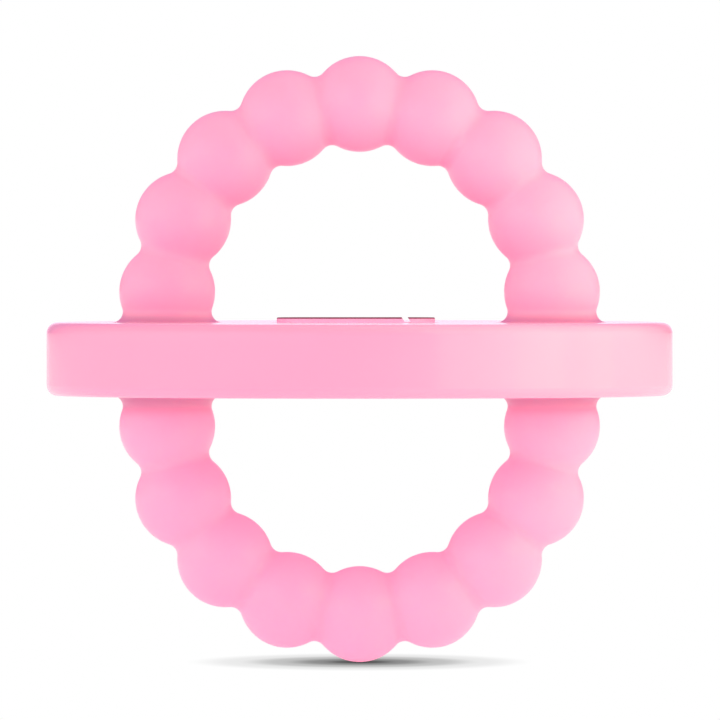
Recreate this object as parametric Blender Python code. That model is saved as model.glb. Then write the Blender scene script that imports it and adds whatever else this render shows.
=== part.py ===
"""A silicone teether: two beaded loops on a round guard. Metres, +Z up.

The origin is the centre of the guard. X runs across both loops, and the front looks along -Y.
The guard is a soft cover and a soft body, closed around a stiff core plate. Each loop's two stems pass
through the guard and end in flanges beside the plate, and a barbed pin joins each upper stem to the lower
stem under it.
"""

import math

import bmesh
import bpy
from mathutils import Vector

# ---- Driving dimensions ----
CLEARANCE = 0.0003  # gap kept between pieces that touch

GUARD_DIAMETER = 0.0760
GUARD_HEIGHT = 0.0089
GUARD_EDGE_RADIUS = 0.0013
COVER_HEIGHT = 0.0026  # from the guard's top face down to the parting line on its rim
RIM_WALL = 0.0030  # the body's wall around the core plate
UNDERSIDE_SINK = 0.00005  # of the flat middle of the underside, where thick silicone shrinks as it cures

LOOP_RADIUS = 0.02336  # of the arc through the bead centres
LOOP_LIFT = 0.00315  # from the guard's face up to the centre of that arc
BEAD_COUNT = 9
BEAD_DIAMETER = 0.01163
BEAD_FILLET = 0.0014  # in the valley between two beads
END_BEAD_ANGLE = math.radians(1.4)  # of the two end beads, above the arc's centre
FOOT_FILLET = 0.0013  # where a leg meets the guard

STEM_RADIUS = 0.0036
FLANGE_RADIUS = 0.0052
FLANGE_THICKNESS = 0.0013

CORE_THICKNESS = 0.0020

PIN_RADIUS = 0.0015
PIN_REACH = 0.0070  # from the guard's mid-plane to either tip
BARB_RADIUS = 0.0020
BARB_LENGTH = 0.0016
COLLAR_RADIUS = 0.0030
COLLAR_THICKNESS = 0.0008

INLAY_LENGTH = 0.0200
INLAY_WIDTH = 0.0080
INLAY_THICKNESS = 0.0008  # of the plate that lies in the cover
INLAY_X = -0.00045  # of the inlay's middle
BAR_RISE = 0.0006  # of the raised bars, above the guard's face
BAR_MARGIN = 0.0004  # from the plate's edge to the bars
SLIT_WIDTH = 0.00075
SLIT_DEPTH = 0.0007  # from the top of the bars
SLIT_OFFSET = 0.00635  # from the inlay's middle to the middle of the slit's floor
SLIT_LEAN = math.radians(30)  # its top leans towards the left end

# ---- Sizes that follow ----
GUARD_RADIUS = GUARD_DIAMETER / 2
FACE_Z = GUARD_HEIGHT / 2
PARTING_Z = FACE_Z - COVER_HEIGHT
CORE_RADIUS = GUARD_RADIUS - RIM_WALL - CLEARANCE
CORE_Z = CORE_THICKNESS / 2
SHELL_Z = CORE_Z + CLEARANCE  # where the cover and the body close on the core plate
FLANGE_Z = SHELL_Z + FLANGE_THICKNESS
BARB_Z = PIN_REACH - BARB_LENGTH
BARB_TAPER_Z = PIN_REACH - BARB_LENGTH / 2  # where a barb starts to narrow towards its tip
BEAD_RADIUS = BEAD_DIAMETER / 2
BEAD_PITCH = (math.pi - 2 * END_BEAD_ANGLE) / (BEAD_COUNT - 1)
LOOP_Z = FACE_Z + LOOP_LIFT
END_BEAD_Z = LOOP_Z + LOOP_RADIUS * math.sin(END_BEAD_ANGLE)
STEM_X = LOOP_RADIUS * math.cos(END_BEAD_ANGLE)
FACE_MIDDLE_RADIUS = LOOP_RADIUS / 2  # the flat middle of the underside, between the feet
CUT_OVERLAP = 0.0012  # how far a cutter runs past the face that it opens

# ---- Mesh fineness ----
GUARD_SEGMENTS = 96
EDGE_STEPS = 3
LOOP_SEGMENTS = 16
HOLE_SEGMENTS = 32
STEPS_PER_BEAD = 7
LEG_STEPS = 5
FOOT_STEPS = 4
SURFACE_HALVINGS = 30  # when a ray is followed to the beads' surface
SHARP_ANGLE = math.radians(35)

PINK = (1.0, 0.42, 0.64)
DEEP_PINK = (0.96, 0.36, 0.56)
PALE_PINK = (0.93, 0.60, 0.74)
TOOL_GREY = (0.5, 0.5, 0.5)

BOTH_ENDS = (("left", -STEM_X), ("right", STEM_X))


# ---- Objects ----
def clear_scene():
    for old in list(bpy.data.objects):
        bpy.data.objects.remove(old, do_unlink=True)


def plain_material(name, colour, roughness):
    material = bpy.data.materials.new(name)
    material.use_nodes = True
    shader = material.node_tree.nodes["Principled BSDF"]
    shader.inputs["Base Color"].default_value = (*colour, 1.0)
    shader.inputs["Roughness"].default_value = roughness
    shader.inputs["Metallic"].default_value = 0.0
    return material


def finished_mesh(name, shape, material):
    """Turns a bmesh into a smooth-shaded mesh with its faces pointing out."""
    bmesh.ops.recalc_face_normals(shape, faces=shape.faces)
    mesh = bpy.data.meshes.new(name)
    shape.to_mesh(mesh)
    shape.free()
    mesh.shade_smooth()
    mesh.set_sharp_from_angle(angle=SHARP_ANGLE)
    mesh.materials.append(material)
    return mesh


def place(name, mesh, location=(0.0, 0.0, 0.0), rotation=(0.0, 0.0, 0.0), parent=None):
    obj = bpy.data.objects.new(name, mesh)
    bpy.context.scene.collection.objects.link(obj)
    obj.location = location
    obj.rotation_euler = rotation
    obj.parent = parent
    return obj


def cut(target, name, mesh, location=(0.0, 0.0, 0.0), rotation=(0.0, 0.0, 0.0)):
    """Takes a hidden cutter away from the target."""
    tool = place(name, mesh, location, rotation, target.parent)
    tool.hide_render = True
    tool.display_type = "WIRE"
    modifier = target.modifiers.new(name, "BOOLEAN")
    modifier.operation = "DIFFERENCE"
    modifier.solver = "EXACT"
    modifier.object = tool


# ---- Shapes ----
def lofted(rings):
    """A closed body through rings of points: the same number in each, the two ends capped."""
    shape = bmesh.new()
    loops = [[shape.verts.new(point) for point in ring] for ring in rings]
    count = len(loops[0])
    for lower, upper in zip(loops, loops[1:]):
        for i in range(count):
            j = (i + 1) % count
            shape.faces.new((lower[i], lower[j], upper[j], upper[i]))
    shape.faces.new(loops[0])
    shape.faces.new(loops[-1])
    return shape


def level_circle(radius, z, segments, centre_x=0.0):
    points = []
    for i in range(segments):
        turn = math.tau * i / segments
        points.append(Vector((centre_x + radius * math.cos(turn), radius * math.sin(turn), z)))
    return points


def turned(profile, segments):
    """A solid of revolution about Z: the profile is a list of (radius, z)."""
    return lofted([level_circle(radius, z, segments) for radius, z in profile])


def rounded_edge(radius, fillet):
    """(radius, height) over the rounded outer edge of a disc, from its side up to its face at height 0."""
    points = []
    for step in range(EDGE_STEPS + 1):
        turn = math.pi / 2 * step / EDGE_STEPS
        points.append((radius - fillet + fillet * math.cos(turn), fillet * (math.sin(turn) - 1)))
    return points


def capsule(length, width, z):
    """A level ring of points round a straight-sided capsule that lies along X."""
    radius = width / 2
    half_steps = HOLE_SEGMENTS // 2
    points = []
    for end in (1, -1):
        for step in range(half_steps + 1):
            turn = -math.pi / 2 + math.pi * step / half_steps
            reach = length / 2 - radius + radius * math.cos(turn)
            points.append(Vector((end * reach, end * radius * math.sin(turn), z)))
    return points


# ---- Beaded loops ----
def bead_centres():
    """Centres of one loop's beads, from the right foot round to the left foot."""
    centres = []
    for i in range(BEAD_COUNT):
        turn = END_BEAD_ANGLE + i * BEAD_PITCH
        x = LOOP_RADIUS * math.cos(turn)
        centres.append(Vector((x, 0.0, LOOP_Z + LOOP_RADIUS * math.sin(turn))))
    return centres


def height_over_pair(point, first, second):
    """How far a point is outside two beads and the fillet in the valley between them: negative inside."""
    outside = min((point - first).length, (point - second).length) - BEAD_RADIUS
    span = second - first
    half = span.length / 2
    along = span.normalized()
    offset = point - (first + second) / 2
    t = abs(offset.dot(along))
    out = (offset - offset.dot(along) * along).length
    reach = BEAD_RADIUS + BEAD_FILLET
    fillet_out = math.sqrt(reach**2 - half**2)
    if t >= BEAD_FILLET * half / reach or out >= fillet_out:
        return outside
    return BEAD_FILLET - math.hypot(t, fillet_out - out)


def surface_point(origin, direction, centres):
    """Where a ray from the loop's centreline leaves the beads."""
    inner, outer = 0.0, BEAD_DIAMETER
    for _ in range(SURFACE_HALVINGS):
        middle = (inner + outer) / 2
        point = origin + middle * direction
        if min(height_over_pair(point, a, b) for a, b in zip(centres, centres[1:])) < 0:
            inner = middle
        else:
            outer = middle
    return origin + inner * direction


def bead_rings():
    """Rings over the beads, each in a plane through the arc's axis, from the right foot to the left."""
    centres = bead_centres()
    turns = [0.0]
    for i in range((BEAD_COUNT - 1) * STEPS_PER_BEAD + 1):
        turns.append(END_BEAD_ANGLE + BEAD_PITCH * i / STEPS_PER_BEAD)
    turns.append(math.pi)
    rings = []
    for turn in turns:
        outward = Vector((math.cos(turn), 0.0, math.sin(turn)))
        origin = Vector((0.0, 0.0, LOOP_Z)) + LOOP_RADIUS * outward
        nearest = sorted(centres, key=lambda centre: (centre - origin).length)[:3]
        nearest.sort(key=centres.index)
        ring = []
        for i in range(LOOP_SEGMENTS):
            around = math.tau * i / LOOP_SEGMENTS
            direction = math.cos(around) * outward + math.sin(around) * Vector((0.0, 1.0, 0.0))
            ring.append(surface_point(origin, direction, nearest))
        rings.append(ring)
    return rings


def foot_profile():
    """(radius, z) down one leg, from the end of the arc over the end bead and the fillet onto the guard."""
    rise = END_BEAD_Z - FACE_Z - FOOT_FILLET
    reach = BEAD_RADIUS + FOOT_FILLET
    fillet_out = math.sqrt(reach**2 - rise**2)
    tangent_z = END_BEAD_Z - BEAD_RADIUS * rise / reach
    profile = []
    for step in range(1, LEG_STEPS + 1):
        z = LOOP_Z + (tangent_z - LOOP_Z) * step / LEG_STEPS
        profile.append((math.sqrt(BEAD_RADIUS**2 - (END_BEAD_Z - z) ** 2), z))
    start = math.asin(rise / reach)
    end = -math.asin(1 - CLEARANCE / FOOT_FILLET)
    for step in range(1, FOOT_STEPS + 1):
        turn = start + (end - start) * step / FOOT_STEPS
        radius = fillet_out - FOOT_FILLET * math.cos(turn)
        profile.append((radius, FACE_Z + FOOT_FILLET * (1 + math.sin(turn))))
    return profile


def stem_profile():
    """(radius, z) on from the foot: down the stem, over its flange, and up the socket that holds the pin."""
    foot_z = FACE_Z + CLEARANCE
    socket = PIN_RADIUS + CLEARANCE
    barb_socket = BARB_RADIUS + CLEARANCE
    return [
        (STEM_RADIUS, foot_z),
        (STEM_RADIUS, FLANGE_Z),
        (FLANGE_RADIUS, FLANGE_Z),
        (FLANGE_RADIUS, SHELL_Z),
        (socket, SHELL_Z),
        (socket, BARB_Z - CLEARANCE),
        (barb_socket, BARB_Z - CLEARANCE),
        (barb_socket, BARB_TAPER_Z),
        (PIN_RADIUS, PIN_REACH + CLEARANCE),
    ]


def bead_loop_mesh(material):
    """The upper loop, beads, legs, stems and flanges in one."""
    legs = foot_profile() + stem_profile()
    right = [level_circle(radius, z, LOOP_SEGMENTS, STEM_X) for radius, z in legs]
    left = [[Vector((-point.x, point.y, point.z)) for point in ring] for ring in right]
    return finished_mesh("bead_loop", lofted(right[::-1] + bead_rings() + left), material)


def add_bead_loops(material, parent):
    """Two equal loops: the lower one is the upper one turned over about X."""
    mesh = bead_loop_mesh(material)
    place("upper_bead_loop", mesh, parent=parent)
    place("lower_bead_loop", mesh, rotation=(math.pi, 0.0, 0.0), parent=parent)


# ---- Guard ----
def stem_hole_mesh(material):
    """Cutter for the hole that one stem of the upper loop and its flange sit in."""
    stem = STEM_RADIUS + CLEARANCE
    flange = FLANGE_RADIUS + CLEARANCE
    profile = [
        (flange, SHELL_Z - CUT_OVERLAP),
        (flange, FLANGE_Z + CLEARANCE),
        (stem, FLANGE_Z + CLEARANCE),
        (stem, FACE_Z + CUT_OVERLAP),
    ]
    return finished_mesh("stem_hole", turned(profile, HOLE_SEGMENTS), material)


def inlay_pocket_mesh(material):
    length = INLAY_LENGTH + 2 * CLEARANCE
    width = INLAY_WIDTH + 2 * CLEARANCE
    floor_z = FACE_Z - INLAY_THICKNESS - CLEARANCE
    rings = [capsule(length, width, floor_z), capsule(length, width, FACE_Z + CUT_OVERLAP)]
    return finished_mesh("inlay_pocket", lofted(rings), material)


def add_guard_cover(material, tool_material, parent):
    """The upper shell: a disc with a plug under it that fits inside the body's rim."""
    seam_z = PARTING_Z + CLEARANCE / 2
    edge = [(radius, FACE_Z + height) for radius, height in rounded_edge(GUARD_RADIUS, GUARD_EDGE_RADIUS)]
    profile = [(CORE_RADIUS, SHELL_Z), (CORE_RADIUS, seam_z), (GUARD_RADIUS, seam_z)] + edge
    mesh = finished_mesh("guard_cover", turned(profile, GUARD_SEGMENTS), material)
    cover = place("guard_cover", mesh, parent=parent)
    hole = stem_hole_mesh(tool_material)
    for end, x in BOTH_ENDS:
        cut(cover, f"cover_hole_{end}", hole, location=(x, 0.0, 0.0))
    cut(cover, "inlay_pocket", inlay_pocket_mesh(tool_material), location=(INLAY_X, 0.0, 0.0))


def add_guard_body(material, tool_material, parent):
    """The lower shell: a cup whose floor the core plate lies on."""
    seam_z = PARTING_Z - CLEARANCE / 2
    inner = GUARD_RADIUS - RIM_WALL
    edge = [(radius, -FACE_Z - height) for radius, height in rounded_edge(GUARD_RADIUS, GUARD_EDGE_RADIUS)]
    rim = [(GUARD_RADIUS, seam_z), (inner, seam_z), (inner, -SHELL_Z)]
    profile = [(FACE_MIDDLE_RADIUS, -FACE_Z + UNDERSIDE_SINK)] + edge[::-1] + rim
    mesh = finished_mesh("guard_body", turned(profile, GUARD_SEGMENTS), material)
    body = place("guard_body", mesh, parent=parent)
    hole = stem_hole_mesh(tool_material)
    for end, x in BOTH_ENDS:
        cut(body, f"body_hole_{end}", hole, location=(x, 0.0, 0.0), rotation=(math.pi, 0.0, 0.0))


def add_core_plate(material, tool_material, parent):
    """The stiff disc inside the guard, with a hole for each pin and a seat for its collar."""
    disc = turned([(CORE_RADIUS, -CORE_Z), (CORE_RADIUS, CORE_Z)], GUARD_SEGMENTS)
    plate = place("core_plate", finished_mesh("core_plate", disc, material), parent=parent)
    hole = BARB_RADIUS + CLEARANCE
    seat = COLLAR_RADIUS + CLEARANCE
    seat_z = CORE_Z - COLLAR_THICKNESS - CLEARANCE
    profile = [(hole, -CORE_Z - CUT_OVERLAP), (hole, seat_z), (seat, seat_z), (seat, CORE_Z + CUT_OVERLAP)]
    tool = finished_mesh("pin_hole", turned(profile, HOLE_SEGMENTS), tool_material)
    for end, x in BOTH_ENDS:
        cut(plate, f"pin_hole_{end}", tool, location=(x, 0.0, 0.0))


def add_anchor_pins(material, parent):
    """Pins with a barb at both ends, a shank that fills the core plate's hole, and a collar in its seat."""
    collar_z = CORE_Z - COLLAR_THICKNESS
    tip = PIN_RADIUS / 2
    profile = [
        (tip, -PIN_REACH),
        (BARB_RADIUS, -BARB_TAPER_Z),
        (BARB_RADIUS, -BARB_Z),
        (PIN_RADIUS, -BARB_Z),
        (PIN_RADIUS, -CORE_Z),
        (BARB_RADIUS, -CORE_Z),
        (BARB_RADIUS, collar_z),
        (COLLAR_RADIUS, collar_z),
        (COLLAR_RADIUS, CORE_Z),
        (PIN_RADIUS, CORE_Z),
        (PIN_RADIUS, BARB_Z),
        (BARB_RADIUS, BARB_Z),
        (BARB_RADIUS, BARB_TAPER_Z),
        (tip, PIN_REACH),
    ]
    mesh = finished_mesh("anchor_pin", turned(profile, LOOP_SEGMENTS), material)
    for end, x in BOTH_ENDS:
        place(f"{end}_anchor_pin", mesh, location=(x, 0.0, 0.0), parent=parent)


def slit_mesh(material):
    """A leaning box on the origin's upper side, as deep as the slit and well past it."""
    shape = bmesh.new()
    bmesh.ops.create_cube(shape, size=1.0)
    height = SLIT_DEPTH + CUT_OVERLAP
    bmesh.ops.scale(shape, vec=(SLIT_WIDTH, 2 * INLAY_WIDTH, height), verts=shape.verts)
    bmesh.ops.translate(shape, vec=(0.0, 0.0, height / 2), verts=shape.verts)
    for vertex in shape.verts:
        vertex.co.x -= vertex.co.z * math.tan(SLIT_LEAN)
    return finished_mesh("inlay_slit", shape, material)


def add_top_inlay(material, tool_material, parent):
    """A capsule plate let into the cover, with two raised bars on it, parted by a leaning slit."""
    bar_z = FACE_Z + BAR_RISE
    bar_length = INLAY_LENGTH - 2 * BAR_MARGIN
    bar_width = INLAY_WIDTH - 2 * BAR_MARGIN
    rings = [
        capsule(INLAY_LENGTH, INLAY_WIDTH, FACE_Z - INLAY_THICKNESS),
        capsule(INLAY_LENGTH, INLAY_WIDTH, FACE_Z),
        capsule(bar_length, bar_width, FACE_Z),
        capsule(bar_length, bar_width, bar_z),
    ]
    mesh = finished_mesh("top_inlay", lofted(rings), material)
    inlay = place("top_inlay", mesh, location=(INLAY_X, 0.0, 0.0), parent=parent)
    at = (INLAY_X + SLIT_OFFSET, 0.0, bar_z - SLIT_DEPTH)
    cut(inlay, "inlay_slit", slit_mesh(tool_material), location=at)


def build():
    clear_scene()
    teether = place("teether", None)
    satin = plain_material("satin_silicone", PINK, 0.5)
    glossy = plain_material("glossy_silicone", PINK, 0.25)
    inlay = plain_material("inlay_silicone", DEEP_PINK, 0.4)
    plastic = plain_material("core_plastic", PALE_PINK, 0.4)
    tool = plain_material("tool", TOOL_GREY, 0.5)
    add_guard_cover(glossy, tool, teether)
    add_guard_body(glossy, tool, teether)
    add_core_plate(plastic, tool, teether)
    add_top_inlay(inlay, tool, teether)
    add_bead_loops(satin, teether)
    add_anchor_pins(plastic, teether)


build()
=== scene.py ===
"""The finished look of the silicone teether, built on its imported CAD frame. Metres, +Z up.

The loops, the guard's two shells and the inlay are modelled again here with fine surfaces, inside the
CAD's sizes. The core plate and the pins inside the guard are the CAD's own, with moulded plastic on them.
"""

import math

import bmesh
import bpy
import numpy as np
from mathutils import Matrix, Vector


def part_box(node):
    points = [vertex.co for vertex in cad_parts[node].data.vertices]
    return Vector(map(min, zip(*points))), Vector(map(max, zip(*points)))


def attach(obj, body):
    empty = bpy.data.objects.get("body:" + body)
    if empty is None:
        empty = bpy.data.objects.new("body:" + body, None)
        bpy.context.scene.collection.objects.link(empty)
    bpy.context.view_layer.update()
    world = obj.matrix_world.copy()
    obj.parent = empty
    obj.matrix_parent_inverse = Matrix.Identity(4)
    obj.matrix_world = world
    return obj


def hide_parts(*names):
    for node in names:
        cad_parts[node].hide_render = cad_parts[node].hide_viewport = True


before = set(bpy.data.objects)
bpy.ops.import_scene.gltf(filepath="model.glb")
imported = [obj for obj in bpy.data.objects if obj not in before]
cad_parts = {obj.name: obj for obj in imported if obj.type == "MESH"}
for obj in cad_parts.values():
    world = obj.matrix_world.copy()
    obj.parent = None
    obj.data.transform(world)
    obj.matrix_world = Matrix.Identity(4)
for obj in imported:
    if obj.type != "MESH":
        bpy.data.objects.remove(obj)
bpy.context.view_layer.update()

# ---- Places taken from the frame ----
COVER_LOW, COVER_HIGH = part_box("guard_cover")
BODY_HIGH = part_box("guard_body")[1]
LOOP_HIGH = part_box("upper_bead_loop")[1]
INLAY_LOW, INLAY_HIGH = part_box("top_inlay")
CORE_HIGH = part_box("core_plate")[1]
PIN_LOW, PIN_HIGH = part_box("right_anchor_pin")
FLOOR_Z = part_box("lower_bead_loop")[0].z

CLEARANCE = 0.0003
GUARD_RADIUS = COVER_HIGH.x
FACE_Z = COVER_HIGH.z
PARTING_Z = BODY_HIGH.z + CLEARANCE / 2
PLUG_RADIUS = CORE_HIGH.x
SHELL_Z = COVER_LOW.z
STEM_X = (PIN_LOW.x + PIN_HIGH.x) / 2
PIN_REACH = PIN_HIGH.z
INLAY_X = (INLAY_LOW.x + INLAY_HIGH.x) / 2

# ---- Shape of the loops ----
BEAD_COUNT = 9
BEAD_RADIUS = 0.005815
BEAD_FILLET = 0.0014
END_BEAD_ANGLE = math.radians(1.4)
FOOT_FILLET = 0.0013
BEAD_PITCH = (math.pi - 2 * END_BEAD_ANGLE) / (BEAD_COUNT - 1)
LOOP_RADIUS = STEM_X / math.cos(END_BEAD_ANGLE)
LOOP_Z = LOOP_HIGH.z - LOOP_RADIUS - BEAD_RADIUS
END_BEAD_Z = LOOP_Z + LOOP_RADIUS * math.sin(END_BEAD_ANGLE)
STEM_RADIUS = 0.0036
FLANGE_RADIUS = 0.0052
FLANGE_Z = SHELL_Z + 0.0013
SOCKET_RADIUS = 0.0018
BARB_SOCKET_RADIUS = 0.0023
BARB_LENGTH = 0.0016
FOOT_SINK = 0.00004  # how far a foot's edge dips into the guard, so that no gap shows

# ---- Shape of the guard ----
GUARD_EDGE_RADIUS = 0.0013
RIM_WALL_INNER = PLUG_RADIUS + CLEARANCE
SEAM_EDGE = 0.000004  # rounding of the two edges that meet at the parting line

# ---- Shape of the inlay ----
BAR_MARGIN = 0.0004
SLIT_WIDTH = 0.00075
SLIT_DEPTH = 0.0007
SLIT_OFFSET = 0.00635  # from the inlay's middle to the middle of the slit's floor
SLIT_LEAN = math.radians(30)  # its top leans towards the left end
BAR_EDGE = 0.00014
CUT_OVERLAP = 0.0012

# ---- Mesh fineness ----
LOOP_SEGMENTS = 64
STEPS_PER_BEAD = 32
LEG_STEPS = 20
FOOT_STEPS = 14
GUARD_SEGMENTS = 256
EDGE_STEPS = 10
SEAM_EDGE_STEPS = 3
BAR_EDGE_STEPS = 4
HOLE_SEGMENTS = 64
CAPSULE_STEPS = 24
SURFACE_HALVINGS = 40  # how often the search for the beads' surface halves its range
SHARP_ANGLE = math.radians(35)  # edges that turn by more than this stay sharp


# ---- Meshes ----
def add_piece(name, shape, material, node):
    """Makes a bmesh into a smooth-shaded piece on the root body that stands for one CAD node."""
    bmesh.ops.recalc_face_normals(shape, faces=shape.faces)
    mesh = bpy.data.meshes.new(name)
    shape.to_mesh(mesh)
    shape.free()
    mesh.shade_smooth()
    mesh.set_sharp_from_angle(angle=SHARP_ANGLE)
    mesh.materials.append(material)
    piece = bpy.data.objects.new(name, mesh)
    bpy.context.scene.collection.objects.link(piece)
    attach(piece, "root")
    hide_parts(node)
    return piece


def cut(target, shape):
    """Takes a shape away from a piece for good."""
    bmesh.ops.recalc_face_normals(shape, faces=shape.faces)
    mesh = bpy.data.meshes.new("cutter")
    shape.to_mesh(mesh)
    shape.free()
    tool = bpy.data.objects.new("cutter", mesh)
    bpy.context.scene.collection.objects.link(tool)
    modifier = target.modifiers.new("cut", "BOOLEAN")
    modifier.operation = "DIFFERENCE"
    modifier.solver = "EXACT"
    modifier.object = tool
    apply_modifiers(target)
    bpy.data.objects.remove(tool)


def apply_modifiers(target):
    bpy.context.view_layer.update()
    evaluated = target.evaluated_get(bpy.context.evaluated_depsgraph_get())
    mesh = bpy.data.meshes.new_from_object(evaluated)
    target.modifiers.clear()
    target.data = mesh


def lofted(rings):
    shape = bmesh.new()
    loops = [[shape.verts.new(point) for point in ring] for ring in rings]
    count = len(loops[0])
    for lower, upper in zip(loops, loops[1:]):
        for i in range(count):
            j = (i + 1) % count
            shape.faces.new((lower[i], lower[j], upper[j], upper[i]))
    shape.faces.new(loops[0])
    shape.faces.new(loops[-1])
    return shape


def level_circle(radius, z, segments, centre_x=0.0):
    points = []
    for i in range(segments):
        turn = math.tau * i / segments
        points.append((centre_x + radius * math.cos(turn), radius * math.sin(turn), z))
    return points


def turned(profile, segments, centre_x=0.0):
    return lofted([level_circle(radius, z, segments, centre_x) for radius, z in profile])


def arc(centre, radius, start, end, steps):
    """(radius, z) points along an arc, both ends included."""
    points = []
    for step in range(steps + 1):
        turn = start + (end - start) * step / steps
        points.append((centre[0] + radius * math.cos(turn), centre[1] + radius * math.sin(turn)))
    return points


def capsule(length, width, z):
    """A level ring round a straight-sided capsule along X, centred where the inlay is."""
    radius = width / 2
    points = []
    for end in (1, -1):
        for step in range(CAPSULE_STEPS + 1):
            turn = -math.pi / 2 + math.pi * step / CAPSULE_STEPS
            reach = length / 2 - radius + radius * math.cos(turn)
            points.append((INLAY_X + end * reach, end * radius * math.sin(turn), z))
    return points


# ---- Beaded loops ----
def bead_centres():
    turns = END_BEAD_ANGLE + BEAD_PITCH * np.arange(BEAD_COUNT)
    return np.stack([LOOP_RADIUS * np.cos(turns), 0 * turns, LOOP_Z + LOOP_RADIUS * np.sin(turns)], axis=1)


def height_over_beads(points, centres):
    """How far each point is outside the beads and the fillets in the valleys between them."""
    height = np.full(len(points), np.inf)
    reach = BEAD_RADIUS + BEAD_FILLET
    for first, second in zip(centres, centres[1:]):
        half = np.linalg.norm(second - first) / 2
        along = (second - first) / (2 * half)
        offset = points - (first + second) / 2
        t = offset @ along
        out = np.linalg.norm(offset - t[:, None] * along, axis=1)
        outside = np.hypot(half - np.abs(t), out) - BEAD_RADIUS
        fillet_out = math.sqrt(reach**2 - half**2)
        in_valley = (np.abs(t) < BEAD_FILLET * half / reach) & (out < fillet_out)
        valley = BEAD_FILLET - np.hypot(t, fillet_out - out)
        height = np.minimum(height, np.where(in_valley, valley, outside))
    return height


def bead_rings():
    """Rings over the beads, each in a plane through the arc's axis, from the right foot to the left."""
    inside = END_BEAD_ANGLE + BEAD_PITCH * np.arange((BEAD_COUNT - 1) * STEPS_PER_BEAD + 1) / STEPS_PER_BEAD
    turns = np.concatenate([[0.0], inside, [math.pi]])
    around = math.tau * np.arange(LOOP_SEGMENTS) / LOOP_SEGMENTS
    outward = np.stack([np.cos(turns), 0 * turns, np.sin(turns)], axis=1)
    origins = LOOP_RADIUS * outward + np.array([0.0, 0.0, LOOP_Z])
    directions = outward[:, None] * np.cos(around)[None, :, None]
    directions = directions + np.array([0.0, 1.0, 0.0]) * np.sin(around)[None, :, None]
    directions = directions.reshape(-1, 3)
    origins = np.repeat(origins, LOOP_SEGMENTS, axis=0)
    centres = bead_centres()
    inner = np.zeros(len(origins))
    outer = np.full(len(origins), 2 * BEAD_RADIUS)
    for _ in range(SURFACE_HALVINGS):
        middle = (inner + outer) / 2
        within = height_over_beads(origins + middle[:, None] * directions, centres) < 0
        inner = np.where(within, middle, inner)
        outer = np.where(within, outer, middle)
    surface = origins + inner[:, None] * directions
    return surface.reshape(len(turns), LOOP_SEGMENTS, 3).tolist()


def leg_profile():
    """(radius, z) down one leg: end bead, fillet onto the guard, stem, flange and the pin's socket."""
    rise = END_BEAD_Z - FACE_Z - FOOT_FILLET
    reach = BEAD_RADIUS + FOOT_FILLET
    fillet_out = math.sqrt(reach**2 - rise**2)
    tangent_z = END_BEAD_Z - BEAD_RADIUS * rise / reach
    profile = []
    for step in range(1, LEG_STEPS):
        z = LOOP_Z + (tangent_z - LOOP_Z) * step / LEG_STEPS
        profile.append((math.sqrt(BEAD_RADIUS**2 - (END_BEAD_Z - z) ** 2), z))
    start = math.pi - math.asin(rise / reach)
    profile += arc((fillet_out, FACE_Z + FOOT_FILLET), FOOT_FILLET, start, 1.5 * math.pi, FOOT_STEPS)
    barb_z = PIN_REACH - BARB_LENGTH - CLEARANCE
    profile += [
        (fillet_out, FACE_Z - FOOT_SINK),
        (STEM_RADIUS, FACE_Z - FOOT_SINK),
        (STEM_RADIUS, FLANGE_Z),
        (FLANGE_RADIUS, FLANGE_Z),
        (FLANGE_RADIUS, SHELL_Z),
        (SOCKET_RADIUS, SHELL_Z),
        (SOCKET_RADIUS, barb_z),
        (BARB_SOCKET_RADIUS, barb_z),
        (BARB_SOCKET_RADIUS, PIN_REACH - BARB_LENGTH / 2),
        (SOCKET_RADIUS, PIN_REACH + CLEARANCE),
    ]
    return profile


def make_loop(name, node, side, material):
    """One loop: side is 1 above the guard and -1 below it."""
    right = [level_circle(radius, z, LOOP_SEGMENTS, STEM_X) for radius, z in leg_profile()]
    left = [[(-x, y, z) for x, y, z in ring] for ring in right]
    rings = right[::-1] + bead_rings() + left
    rings = [[(x, side * y, side * z) for x, y, z in ring] for ring in rings]
    add_piece(name, lofted(rings), material, node)


# ---- Guard ----
def cut_stem_holes(shell, side):
    stem = STEM_RADIUS + CLEARANCE
    flange = FLANGE_RADIUS + CLEARANCE
    profile = [
        (flange, side * (SHELL_Z - CUT_OVERLAP)),
        (flange, side * (FLANGE_Z + CLEARANCE)),
        (stem, side * (FLANGE_Z + CLEARANCE)),
        (stem, side * (FACE_Z + CUT_OVERLAP)),
    ]
    for x in (-STEM_X, STEM_X):
        cut(shell, turned(profile, HOLE_SEGMENTS, x))


def keep_faces_flat(shell):
    """Shades the large flat faces as flat, with the rounding only on the edges."""
    modifier = shell.modifiers.new("weighted", "WEIGHTED_NORMAL")
    modifier.mode = "FACE_AREA"
    modifier.weight = 100
    modifier.keep_sharp = True


def make_cover(material):
    seam_centre = (GUARD_RADIUS - SEAM_EDGE, PARTING_Z + SEAM_EDGE)
    seam = arc(seam_centre, SEAM_EDGE, -math.pi / 2, 0.0, SEAM_EDGE_STEPS)
    edge_centre = (GUARD_RADIUS - GUARD_EDGE_RADIUS, FACE_Z - GUARD_EDGE_RADIUS)
    edge = arc(edge_centre, GUARD_EDGE_RADIUS, 0.0, math.pi / 2, EDGE_STEPS)
    profile = [(PLUG_RADIUS, SHELL_Z), (PLUG_RADIUS, PARTING_Z)] + seam + edge
    shape = turned(profile, GUARD_SEGMENTS)
    cover = add_piece("cover_shell", shape, material, "guard_cover")
    cut_stem_holes(cover, 1)
    length = INLAY_HIGH.x - INLAY_LOW.x + CLEARANCE
    width = INLAY_HIGH.y - INLAY_LOW.y + CLEARANCE
    pocket = [capsule(length, width, z) for z in (INLAY_LOW.z - CLEARANCE, FACE_Z + CUT_OVERLAP)]
    cut(cover, lofted(pocket))
    keep_faces_flat(cover)


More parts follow.
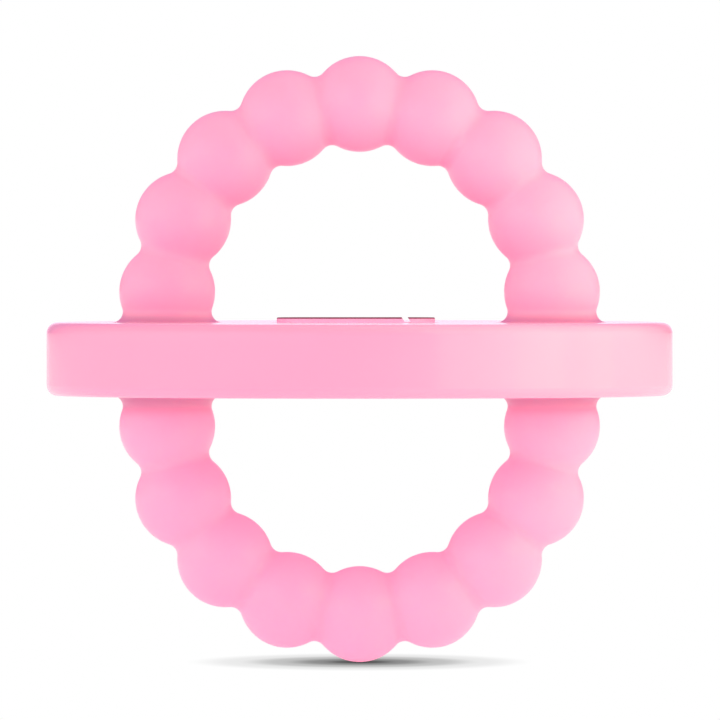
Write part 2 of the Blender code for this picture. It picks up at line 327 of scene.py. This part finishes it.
def make_body(material):
    seam_centre = (GUARD_RADIUS - SEAM_EDGE, PARTING_Z - SEAM_EDGE)
    seam = arc(seam_centre, SEAM_EDGE, 0.0, math.pi / 2, SEAM_EDGE_STEPS)
    edge_centre = (GUARD_RADIUS - GUARD_EDGE_RADIUS, GUARD_EDGE_RADIUS - FACE_Z)
    edge = arc(edge_centre, GUARD_EDGE_RADIUS, -math.pi / 2, 0.0, EDGE_STEPS)
    profile = edge + seam + [(RIM_WALL_INNER, PARTING_Z), (RIM_WALL_INNER, -SHELL_Z)]
    body = add_piece("body_shell", turned(profile, GUARD_SEGMENTS), material, "guard_body")
    cut_stem_holes(body, -1)
    keep_faces_flat(body)


def make_inlay(material, top_shade_material):
    """The inlay, its two bars rounded along the top, with painted shade in a deep colour from there up."""
    length = INLAY_HIGH.x - INLAY_LOW.x
    width = INLAY_HIGH.y - INLAY_LOW.y
    bar = (length - 2 * BAR_MARGIN, width - 2 * BAR_MARGIN)
    rings = [
        capsule(length, width, INLAY_LOW.z),
        capsule(length, width, FACE_Z),
        capsule(*bar, FACE_Z),
    ]
    for step in range(BAR_EDGE_STEPS + 1):
        turn = math.pi / 2 * step / BAR_EDGE_STEPS
        inset = 2 * BAR_EDGE * (1 - math.cos(turn))
        rings.append(capsule(bar[0] - inset, bar[1] - inset, INLAY_HIGH.z - BAR_EDGE * (1 - math.sin(turn))))
    inlay = add_piece("inlay_bars", lofted(rings), material, "top_inlay")
    slit = bmesh.new()
    bmesh.ops.create_cube(slit, size=1.0)
    height = SLIT_DEPTH + CUT_OVERLAP
    bmesh.ops.scale(slit, vec=(SLIT_WIDTH, 2 * width, height), verts=slit.verts)
    bmesh.ops.translate(slit, vec=(0.0, 0.0, height / 2), verts=slit.verts)
    for vertex in slit.verts:
        vertex.co.x -= vertex.co.z * math.tan(SLIT_LEAN)
    bmesh.ops.translate(slit, vec=(INLAY_X + SLIT_OFFSET, 0.0, INLAY_HIGH.z - SLIT_DEPTH), verts=slit.verts)
    cut(inlay, slit)
    # Painted shade: faces along the bar tops take the dark, unreflecting material.
    inlay.data.materials.append(top_shade_material)
    for face in inlay.data.polygons:
        if face.center.z > INLAY_HIGH.z - BAR_EDGE:
            face.material_index = 1


# ---- Materials ----
# Painted shade: where a leg meets the guard, its crease is coloured dark in place of the shade that falls
# there.
CREASE_SHADE_HEIGHT = 0.0015
LOWER_CREASE_SHADE_STRETCH = 1.9  # how much taller the painted crease shade is under the guard than over it
CREASE_SHADE_COLOUR = (0.56, 0.15, 0.34)
GLOW = (0.15, 0.085, 0.10)  # emission in place of the light that soft silicone passes through itself
ROUGHNESS_SPREAD = 0.05
SILICONE_IOR = 1.41


def moulded(name, colour, deep, roughness, subsurface, reach=0.0015, glow=1.0, crease=False):
    """Tinted silicone or plastic with a faint painted glow. Painted shade darkens the crease where a leg
    meets the guard.
    """
    material = bpy.data.materials.new(name)
    material.use_nodes = True
    nodes, links = material.node_tree.nodes, material.node_tree.links
    shader = nodes["Principled BSDF"]
    place = nodes.new("ShaderNodeTexCoord")

    def noise(scale, detail):
        node = nodes.new("ShaderNodeTexNoise")
        node.inputs["Scale"].default_value = scale
        node.inputs["Detail"].default_value = detail
        links.new(place.outputs["Object"], node.inputs["Vector"])
        return node

    clouds = noise(scale=90.0, detail=3.0)
    tint = nodes.new("ShaderNodeMix")
    tint.data_type = "RGBA"
    tint.inputs["A"].default_value = (*colour, 1.0)
    tint.inputs["B"].default_value = (*deep, 1.0)
    links.new(clouds.outputs["Fac"], tint.inputs["Factor"])
    surface_colour = tint.outputs["Result"]
    # Painted shade: towards the guard's faces the colour turns to the crease shade colour.
    if crease:
        split = nodes.new("ShaderNodeSeparateXYZ")
        links.new(place.outputs["Object"], split.inputs["Vector"])
        below = nodes.new("ShaderNodeMath")
        below.operation = "MULTIPLY_ADD"
        below.inputs[1].default_value = -1 / LOWER_CREASE_SHADE_STRETCH
        below.inputs[2].default_value = FACE_Z * (1 - 1 / LOWER_CREASE_SHADE_STRETCH)
        links.new(split.outputs["Z"], below.inputs[0])
        height = nodes.new("ShaderNodeMath")
        height.operation = "MAXIMUM"
        links.new(split.outputs["Z"], height.inputs[0])
        links.new(below.outputs["Value"], height.inputs[1])
        crease_shade_share = nodes.new("ShaderNodeMapRange")
        crease_shade_share.interpolation_type = "SMOOTHSTEP"
        crease_shade_share.inputs["From Min"].default_value = FACE_Z + CREASE_SHADE_HEIGHT
        crease_shade_share.inputs["From Max"].default_value = FACE_Z
        links.new(height.outputs["Value"], crease_shade_share.inputs["Value"])
        crease_shading = nodes.new("ShaderNodeMix")
        crease_shading.data_type = "RGBA"
        crease_shading.inputs["B"].default_value = (*CREASE_SHADE_COLOUR, 1.0)
        links.new(surface_colour, crease_shading.inputs["A"])
        links.new(crease_shade_share.outputs["Result"], crease_shading.inputs["Factor"])
        surface_colour = crease_shading.outputs["Result"]
    links.new(surface_colour, shader.inputs["Base Color"])
    grain = noise(scale=1800.0, detail=2.0)
    rough = nodes.new("ShaderNodeMapRange")
    rough.inputs["To Min"].default_value = roughness - ROUGHNESS_SPREAD
    rough.inputs["To Max"].default_value = roughness + ROUGHNESS_SPREAD
    links.new(grain.outputs["Fac"], rough.inputs["Value"])
    links.new(rough.outputs["Result"], shader.inputs["Roughness"])
    bump = nodes.new("ShaderNodeBump")
    bump.inputs["Strength"].default_value = 0.25
    bump.inputs["Distance"].default_value = 0.00001
    links.new(grain.outputs["Fac"], bump.inputs["Height"])
    links.new(bump.outputs["Normal"], shader.inputs["Normal"])
    shader.inputs["IOR"].default_value = SILICONE_IOR
    shader.inputs["Subsurface Weight"].default_value = subsurface
    shader.inputs["Subsurface Radius"].default_value = (1.0, 0.35, 0.5)
    shader.inputs["Subsurface Scale"].default_value = reach
    shader.inputs["Emission Color"].default_value = (*GLOW, 1.0)
    shader.inputs["Emission Strength"].default_value = glow
    shader.inputs["Sheen Weight"].default_value = 0.04
    shader.inputs["Sheen Roughness"].default_value = 0.5
    shader.inputs["Sheen Tint"].default_value = (1.0, 0.9, 0.95, 1.0)
    return material


def floor_paper(contact):
    """White paper that glows a little. The camera sees a painted grey shade around the contact point."""
    material = bpy.data.materials.new("floor_paper")
    material.use_nodes = True
    nodes, links = material.node_tree.nodes, material.node_tree.links
    shader = nodes["Principled BSDF"]
    place = nodes.new("ShaderNodeNewGeometry")
    distance = nodes.new("ShaderNodeVectorMath")
    distance.operation = "DISTANCE"
    distance.inputs[1].default_value = contact
    links.new(place.outputs["Position"], distance.inputs[0])
    shade = nodes.new("ShaderNodeValToRGB")
    shade.color_ramp.interpolation = "EASE"
    for position, _ in FLOOR_SHADE[1:-1]:
        shade.color_ramp.elements.new(position)
    for element, (position, grey) in zip(shade.color_ramp.elements, FLOOR_SHADE):
        element.position = position
        element.color = (grey, grey, grey, 1.0)
    share = nodes.new("ShaderNodeMath")
    share.operation = "DIVIDE"
    share.inputs[1].default_value = FLOOR_SHADE_RADIUS
    links.new(distance.outputs["Value"], share.inputs[0])
    links.new(share.outputs["Value"], shade.inputs["Fac"])
    seen = nodes.new("ShaderNodeEmission")
    links.new(shade.outputs["Color"], seen.inputs["Color"])
    shader.inputs["Base Color"].default_value = (0.95, 0.95, 0.95, 1.0)
    shader.inputs["Emission Color"].default_value = (1.0, 1.0, 1.0, 1.0)
    shader.inputs["Emission Strength"].default_value = FLOOR_GLOW
    shader.inputs["Roughness"].default_value = 0.9
    shader.inputs["Specular IOR Level"].default_value = 0.0
    rays = nodes.new("ShaderNodeLightPath")
    choice = nodes.new("ShaderNodeMixShader")
    links.new(rays.outputs["Is Camera Ray"], choice.inputs["Fac"])
    links.new(shader.outputs["BSDF"], choice.inputs[1])
    links.new(seen.outputs["Emission"], choice.inputs[2])
    links.new(choice.outputs["Shader"], nodes["Material Output"].inputs["Surface"])
    return material


# ---- Camera, floor and light ----
VIEW_WIDTH = 0.0874  # what the frame spans at the object
VIEW_CENTRE = (0.00005, 0.0, -0.00012)
CAMERA_DISTANCE = 3.5
CAMERA_ELEVATION = math.radians(0.52)

FLOOR_REACH = 6.0
FLOOR_RAMP = 0.022  # how far the ramp runs to either side of the object, front and back
FLOOR_TILT = math.radians(1.9)
FLOOR_GLOW = 0.2
FLOOR_SHADE_RADIUS = 0.0215
FLOOR_SHADE = (  # share of that radius, grey
    (0.0, 0.03),
    (0.09, 0.11),
    (0.24, 0.27),
    (0.46, 0.54),
    (0.70, 0.83),
    (1.0, 1.0),
)

# Directions are world ones: -Y is the camera's side, +X the right. Most of the colours were solved for by
# least squares, so that one view looks as its reference does. They aren't those of a real studio.
STUDIO_LOBES = (  # axis, sharpness, colour
    ((0.0, -1.0, 0.0), 4.0, (0.41, 0.02, 0.39)),
    ((-1.0, -1.0, 0.0), 4.0, (1.90, 1.79, 1.60)),
    ((1.0, -1.0, 0.0), 4.0, (0.30, 0.02, 0.28)),
    ((-1.0, 0.0, 0.0), 4.0, (1.01, 0.95, 0.67)),
    ((-1.0, 0.0, 1.0), 4.0, (0.19, 0.18, 0.18)),
    ((1.0, 0.0, 0.0), 4.0, (0.98, 0.92, 0.87)),
    ((1.0, 0.0, 1.0), 4.0, (0.80, 0.75, 0.54)),
    ((0.0, 0.0, 1.0), 4.0, (0.49, 0.46, 0.41)),
    ((0.0, 1.0, 1.0), 4.0, (0.57, 0.16, 0.54)),
    ((-1.0, 1.0, 0.0), 4.0, (0.17, 0.02, 0.16)),
    ((1.0, 1.0, 0.0), 4.0, (0.12, 0.01, 0.11)),
    ((0.0, 1.0, 0.0), 60.0, (1.0, 1.0, 1.0)),
)
SOFTBOXES = (  # azimuths, elevations, softness, colour
    ((48.0, 88.0), (-8.0, 20.0), 8.0, (0.20, 0.10, 0.19)),
    ((88.0, 130.0), (-8.0, 20.0), 8.0, (0.50, 0.47, 0.29)),
)
PANELS = (  # place, aim, width, height, colour
    ((0.066, -0.064, 0.031), (0.0, 0.0, 0.010), 0.08, 0.08, (1.36, 1.28, 0.66)),
    ((0.086, -0.032, 0.0), (0.020, 0.0, 0.0), 0.07, 0.06, (0.68, 0.64, 0.15)),
)


def add_camera():
    data = bpy.data.cameras.new("camera")
    data.sensor_width = 36.0
    data.lens = data.sensor_width * CAMERA_DISTANCE / VIEW_WIDTH
    data.clip_start = 0.1
    data.clip_end = 100.0
    camera = bpy.data.objects.new("camera", data)
    bpy.context.scene.collection.objects.link(camera)
    back = Vector((0.0, -math.cos(CAMERA_ELEVATION), math.sin(CAMERA_ELEVATION)))
    camera.location = Vector(VIEW_CENTRE) + CAMERA_DISTANCE * back
    camera.rotation_mode = "QUATERNION"
    camera.rotation_quaternion = (-back).to_track_quat("-Z", "Y")
    bpy.context.scene.camera = camera


def add_floor():
    """A level floor with a slight ramp under the object, so that the shade on it shows in so low a view."""
    drop = FLOOR_RAMP * math.tan(FLOOR_TILT)
    levels = ((-FLOOR_REACH, -drop), (-FLOOR_RAMP, -drop), (FLOOR_RAMP, drop), (FLOOR_REACH, drop))
    shape = bmesh.new()
    rows = [[shape.verts.new((x, y, FLOOR_Z + z)) for x in (-FLOOR_REACH, FLOOR_REACH)] for y, z in levels]
    for near, far in zip(rows, rows[1:]):
        shape.faces.new((near[0], near[1], far[1], far[0]))
    mesh = bpy.data.meshes.new("floor")
    shape.to_mesh(mesh)
    shape.free()
    mesh.materials.append(floor_paper((0.0, 0.0, FLOOR_Z)))
    floor = bpy.data.objects.new("floor", mesh)
    bpy.context.scene.collection.objects.link(floor)


def light_studio():
    """A world of broad soft lobes and two softboxes on the right. The camera sees plain white behind."""
    world = bpy.data.worlds.new("studio")
    world.use_nodes = True
    nodes, links = world.node_tree.nodes, world.node_tree.links
    place = nodes.new("ShaderNodeTexCoord")
    direction = place.outputs["Generated"]

    def feed(value, socket):
        if isinstance(value, bpy.types.NodeSocket):
            links.new(value, socket)
        else:
            socket.default_value = value

    def maths(operation, first, second=0.0):
        node = nodes.new("ShaderNodeMath")
        node.operation = operation
        feed(first, node.inputs[0])
        feed(second, node.inputs[1])
        return node.outputs["Value"]

    def vectors(operation, output, first, second, socket=1):
        node = nodes.new("ShaderNodeVectorMath")
        node.operation = operation
        feed(first, node.inputs[0])
        feed(second, node.inputs[socket])
        return node.outputs[output]

    def scaled(colour, amount):
        return vectors("SCALE", "Vector", colour, amount, socket="Scale")

    def rise(value, start, end):
        node = nodes.new("ShaderNodeMapRange")
        node.interpolation_type = "SMOOTHSTEP"
        feed(value, node.inputs["Value"])
        node.inputs["From Min"].default_value = math.radians(start)
        node.inputs["From Max"].default_value = math.radians(end)
        return node.outputs["Result"]

    def window(value, low, high, softness):
        start = rise(value, low - softness, low + softness)
        return maths("MULTIPLY", start, rise(value, high + softness, high - softness))

    parts = []
    for axis, sharpness, colour in STUDIO_LOBES:
        towards = vectors("DOT_PRODUCT", "Value", direction, Vector(axis).normalized())
        parts.append(scaled(colour, maths("POWER", maths("MAXIMUM", towards), sharpness)))
    split = nodes.new("ShaderNodeSeparateXYZ")
    links.new(direction, split.inputs["Vector"])
    azimuth = maths("ARCTAN2", split.outputs["X"], maths("MULTIPLY", split.outputs["Y"], -1.0))
    elevation = maths("ARCSINE", split.outputs["Z"])
    for azimuths, elevations, softness, colour in SOFTBOXES:
        across = window(azimuth, *azimuths, softness)
        box = maths("MULTIPLY", across, window(elevation, *elevations, softness / 2))
        parts.append(scaled(colour, box))
    total = parts[0]
    for part in parts[1:]:
        total = vectors("ADD", "Vector", total, part)
    lighting = nodes["Background"]
    links.new(total, lighting.inputs["Color"])
    backdrop = nodes.new("ShaderNodeBackground")
    backdrop.inputs["Color"].default_value = (1.0, 1.0, 1.0, 1.0)
    rays = nodes.new("ShaderNodeLightPath")
    choice = nodes.new("ShaderNodeMixShader")
    links.new(rays.outputs["Is Camera Ray"], choice.inputs["Fac"])
    links.new(lighting.outputs["Background"], choice.inputs[1])
    links.new(backdrop.outputs["Background"], choice.inputs[2])
    links.new(choice.outputs["Shader"], nodes["World Output"].inputs["Surface"])
    bpy.context.scene.world = world


def add_panels():
    """Two small soft panels close by on the right, which put the soft highlights on the beads."""
    for place, aim, width, height, colour in PANELS:
        data = bpy.data.lights.new("panel", "AREA")
        data.shape = "RECTANGLE"
        data.size = width
        data.size_y = height
        data.color = colour
        data.energy = math.pi * width * height
        panel = bpy.data.objects.new("panel", data)
        bpy.context.scene.collection.objects.link(panel)
        panel.location = place
        panel.rotation_mode = "QUATERNION"
        panel.rotation_quaternion = (Vector(aim) - Vector(place)).to_track_quat("-Z", "Y")
        panel.visible_camera = False


add_camera()
add_floor()
light_studio()
add_panels()
bpy.context.scene.view_settings.view_transform = "Standard"

satin = moulded(
    "satin_silicone", (0.98, 0.42, 0.64), (0.97, 0.40, 0.62),
    roughness=0.34, subsurface=0.5, reach=0.004, crease=True,
)
glossy = moulded(
    "glossy_silicone", (0.98, 0.37, 0.58), (0.97, 0.355, 0.56), roughness=0.13, subsurface=0.1
)
# Painted light: the inlay's silicone is coloured lighter than the guard's, in place of light that its
# fronts, low on the guard, don't get.
inlay_lightened_pink = moulded(
    "inlay_silicone", (0.98, 0.50, 0.74), (0.97, 0.48, 0.72), roughness=0.35, subsurface=0.1
)
# Painted shade along the bar tops: a deep colour with no reflection.
inlay_top_shade = moulded(
    "inlay_top_shade", (0.24, 0.075, 0.125), (0.21, 0.065, 0.11), roughness=0.8, subsurface=0.0, glow=0.0
)
inlay_top_shade.node_tree.nodes["Principled BSDF"].inputs["Specular IOR Level"].default_value = 0.0
plastic = moulded("core_plastic", (0.93, 0.60, 0.74), (0.91, 0.58, 0.72), roughness=0.4, subsurface=0.0)

make_loop("upper_beads", "upper_bead_loop", 1, satin)
make_loop("lower_beads", "lower_bead_loop", -1, satin)
make_cover(glossy)
make_body(glossy)
make_inlay(inlay_lightened_pink, inlay_top_shade)
for node in ("core_plate", "left_anchor_pin", "right_anchor_pin"):
    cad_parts[node].data.materials.clear()
    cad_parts[node].data.materials.append(plastic)
